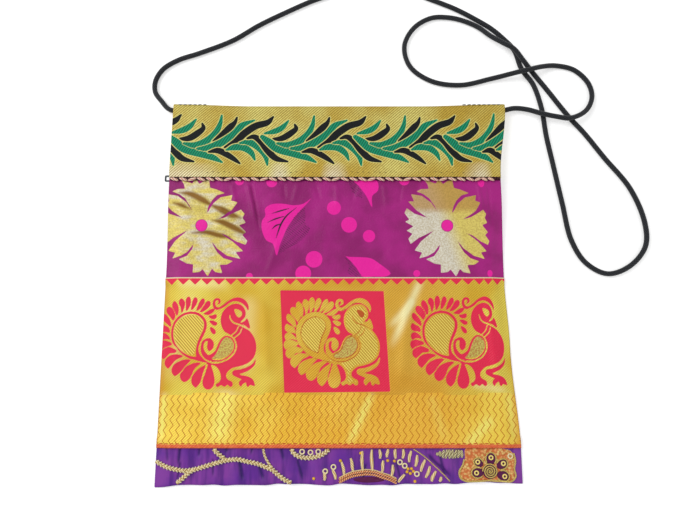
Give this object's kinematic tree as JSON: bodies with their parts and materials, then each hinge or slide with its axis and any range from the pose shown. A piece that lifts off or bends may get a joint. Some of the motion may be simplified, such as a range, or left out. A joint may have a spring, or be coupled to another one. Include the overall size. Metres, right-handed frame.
{
  "type": "potli bag",
  "caption": "Flat zipped sling pouch sewn from brocade bands over a purple silk back, with a long round shoulder cord.",
  "frame": {"origin": "middle of the pouch's outline, with its zip pull, on the surface that it lies on", "axes": "+Z out of the front face, +Y towards the top edge with the shoulder cord, +X to the right seen from the front"},
  "size_m": [0.2977, 0.3055, 0.0073],
  "materials": {
    "gold_brocade": "woven metallic",
    "magenta_satin": "satin weave",
    "zari_brocade": "woven metallic",
    "purple_silk": "silk sheen",
    "zip_tape": "matte weave",
    "zip_nylon": "moulded",
    "zip_metal": "gunmetal lacquer",
    "cord": "braided",
    "gilt_thread": "twisted metallic thread",
    "patch_thread": "satin stitch"
  },
  "bodies": {
    "pouch": {"purple_panel": "purple_silk", "peacock_band": "zari_brocade", "magenta_band": "magenta_satin", "gold_band": "gold_brocade", "couched_stem": "gilt_thread", "medallion_edge": "gilt_thread", "rayed_fan": "gilt_thread", "flower_patch": "patch_thread", "sequin_left": "gilt_thread", "sequin_middle": "gilt_thread", "sequin_right": "gilt_thread", "zip_tape_upper": "zip_tape", "zip_tape_lower": "zip_tape", "zip_coil_upper": "zip_nylon", "zip_coil_lower": "zip_nylon", "zip_stop_upper": "zip_metal", "zip_stop_lower": "zip_metal", "zip_stop_end": "zip_metal", "shoulder_cord": "cord"},
    "slider": {"zip_slider": "zip_metal"},
    "pull": {"zip_pull": "zip_metal"}
  },
  "joints": [
    {"name": "zip_slide", "type": "slide", "parent": "pouch", "child": "slider", "axis": [1, 0, 0], "range_m": [0, 0.1794]},
    {"name": "pull_swing", "type": "hinge", "parent": "slider", "child": "pull", "pos_m": [-0.09015, 0.06415, 0.0041], "axis": [0, 1, 0], "range_deg": [0, 3]}
  ]
}
